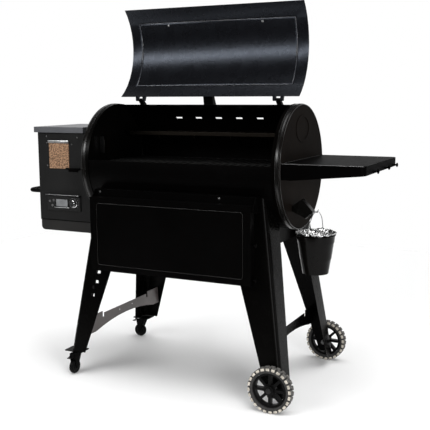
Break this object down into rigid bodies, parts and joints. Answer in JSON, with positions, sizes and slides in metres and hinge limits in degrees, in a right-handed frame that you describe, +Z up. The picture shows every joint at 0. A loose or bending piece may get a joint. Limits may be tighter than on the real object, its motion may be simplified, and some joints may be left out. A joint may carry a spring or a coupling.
{
  "type": "pellet smoker grill",
  "caption": "Barrel smoker grill on tapered legs with an opening lid, side pellet hopper and controls, side shelf, folding front shelf, wheels, casters and grease bucket.",
  "frame": {"origin": "on the floor under the middle of the whole grill", "axes": "+X along the barrel away from the hopper, +Y to the back, +Z up"},
  "size_m": [1.8305, 0.8226, 1.7772],
  "materials": {
    "black_coat": "satin black powder coat with fine texture",
    "charcoal_coat": "charcoal hammertone coat",
    "slate_metal": "slate grey metallic coat",
    "copper_brown": "copper brown textured plate",
    "steel": "brushed or galvanised steel",
    "chrome": "bright plated",
    "foil": "bright foil",
    "cast_iron": "seasoned black",
    "grey_plastic": "matte grey",
    "black_plastic": "matte black",
    "screen": "gloss dark window",
    "tyre": "light grey lugged rubber"
  },
  "bodies": {
    "frame": {"barrel_shell": "black_coat", "end_cap_left": "black_coat", "end_cap_right": "black_coat", "lid_hinge_left": "black_coat", "lid_hinge_right": "black_coat", "lid_stop": "black_coat", "leg_front_left": "black_coat", "leg_front_right": "black_coat", "leg_rear_left": "black_coat", "leg_rear_right": "black_coat", "front_rail": "black_coat", "saddle_left": "black_coat", "saddle_right": "black_coat", "side_brace_left": "black_coat", "side_brace_right": "black_coat", "side_shelf": "black_coat", "hopper_handle": "black_coat", "grease_chute": "black_coat", "hopper_body": "charcoal_coat", "hopper_base": "charcoal_coat", "front_plaque": "copper_brown", "upper_rack": "steel", "heat_baffle": "steel", "temperature_probe": "steel", "wheel_axle_front": "steel", "wheel_axle_rear": "steel", "front_caster_plate": "steel", "rear_caster_plate": "steel", "pellet_bin": "steel", "auger_tube": "steel", "auger_motor": "steel", "cooking_grate_left": "cast_iron", "cooking_grate_right": "cast_iron", "fire_pot": "cast_iron", "control_panel": "grey_plastic", "power_inlet": "black_plastic", "display_window": "screen"},
    "lid": {"lid_panel": "charcoal_coat", "lid_handle": "steel"},
    "hopper_lid": {"hopper_lid": "slate_metal"},
    "front_shelf": {"front_shelf": "black_coat"},
    "knob": {"control_knob": "chrome"},
    "button_left": {"button_left": "grey_plastic"},
    "button_right": {"button_right": "grey_plastic"},
    "button_low": {"button_low": "grey_plastic"},
    "auger": {"auger": "steel"},
    "fan": {"fan_rotor": "black_plastic"},
    "front_wheel": {"front_tyre": "tyre", "front_hub": "black_plastic"},
    "rear_wheel": {"rear_tyre": "tyre", "rear_hub": "black_plastic"},
    "front_caster": {"front_caster_fork": "steel"},
    "front_caster_roller": {"front_caster_wheel": "black_plastic"},
    "front_caster_pedal": {"front_caster_brake": "black_plastic"},
    "rear_caster": {"rear_caster_fork": "steel"},
    "rear_caster_roller": {"rear_caster_wheel": "black_plastic"},
    "rear_caster_pedal": {"rear_caster_brake": "black_plastic"},
    "bucket": {"grease_bucket": "black_coat", "bucket_bail": "steel", "bucket_liner": "foil"}
  },
  "joints": [
    {"name": "lid_hinge", "type": "hinge", "parent": "frame", "child": "lid", "pos_m": [0.02, 0.04921, 1.33084], "axis": [1, 0, 0], "range_deg": [0, 136]},
    {"name": "hopper_lid_hinge", "type": "hinge", "parent": "frame", "child": "hopper_lid", "pos_m": [-0.6793, 0.2063, 1.1775], "axis": [-1, 0, 0], "range_deg": [0, 95]},
    {"name": "front_shelf_hinge", "type": "hinge", "parent": "frame", "child": "front_shelf", "pos_m": [0.02, -0.34301, 0.866], "axis": [-1, 0, 0], "range_deg": [0, 90]},
    {"name": "knob_turn", "type": "hinge", "parent": "frame", "child": "knob", "pos_m": [-0.6, -0.1966, 0.822], "axis": [0, -1, 0], "range_deg": [0, 300]},
    {"name": "button_left_press", "type": "slide", "parent": "frame", "child": "button_left", "axis": [0, 1, 0], "range_m": [0, 0.0015], "stiffness_N_per_m": 400},
    {"name": "button_right_press", "type": "slide", "parent": "frame", "child": "button_right", "axis": [0, 1, 0], "range_m": [0, 0.0015], "stiffness_N_per_m": 400},
    {"name": "button_low_press", "type": "slide", "parent": "frame", "child": "button_low", "axis": [0, 1, 0], "range_m": [0, 0.0015], "stiffness_N_per_m": 400},
    {"name": "auger_spin", "type": "hinge", "parent": "frame", "child": "auger", "pos_m": [-0.7864, 0, 0.8], "axis": [1, 0, 0], "continuous": true},
    {"name": "fan_spin", "type": "hinge", "parent": "frame", "child": "fan", "pos_m": [-0.65, 0.03, 0.6903], "axis": [0, 0, 1], "continuous": true},
    {"name": "front_wheel_spin", "type": "hinge", "parent": "frame", "child": "front_wheel", "pos_m": [0.532, -0.38384, 0.1018], "axis": [0, 1, 0], "continuous": true},
    {"name": "rear_wheel_spin", "type": "hinge", "parent": "frame", "child": "rear_wheel", "pos_m": [0.532, 0.38384, 0.1018], "axis": [0, 1, 0], "continuous": true},
    {"name": "front_caster_swivel", "type": "hinge", "parent": "frame", "child": "front_caster", "pos_m": [-0.523, -0.31801, 0.1057], "axis": [0, 0, 1], "continuous": true},
    {"name": "front_caster_roll", "type": "hinge", "parent": "front_caster", "child": "front_caster_roller", "pos_m": [-0.523, -0.34001, 0.035], "axis": [1, 0, 0], "continuous": true},
    {"name": "front_caster_brake", "type": "hinge", "parent": "front_caster", "child": "front_caster_pedal", "pos_m": [-0.523, -0.35201, 0.0927], "axis": [1, 0, 0], "range_deg": [0, 12]},
    {"name": "rear_caster_swivel", "type": "hinge", "parent": "frame", "child": "rear_caster", "pos_m": [-0.523, 0.31801, 0.1057], "axis": [0, 0, 1], "continuous": true},
    {"name": "rear_caster_roll", "type": "hinge", "parent": "rear_caster", "child": "rear_caster_roller", "pos_m": [-0.545, 0.31801, 0.035], "axis": [0, 1, 0], "continuous": true},
    {"name": "rear_caster_brake", "type": "hinge", "parent": "rear_caster", "child": "rear_caster_pedal", "pos_m": [-0.557, 0.31801, 0.0927], "axis": [0, -1, 0], "range_deg": [0, 12]},
    {"name": "bucket_swing", "type": "hinge", "parent": "frame", "child": "bucket", "pos_m": [0.638, -0.12, 0.845], "axis": [1, 0, 0], "range_deg": [-8, 8]}
  ]
}
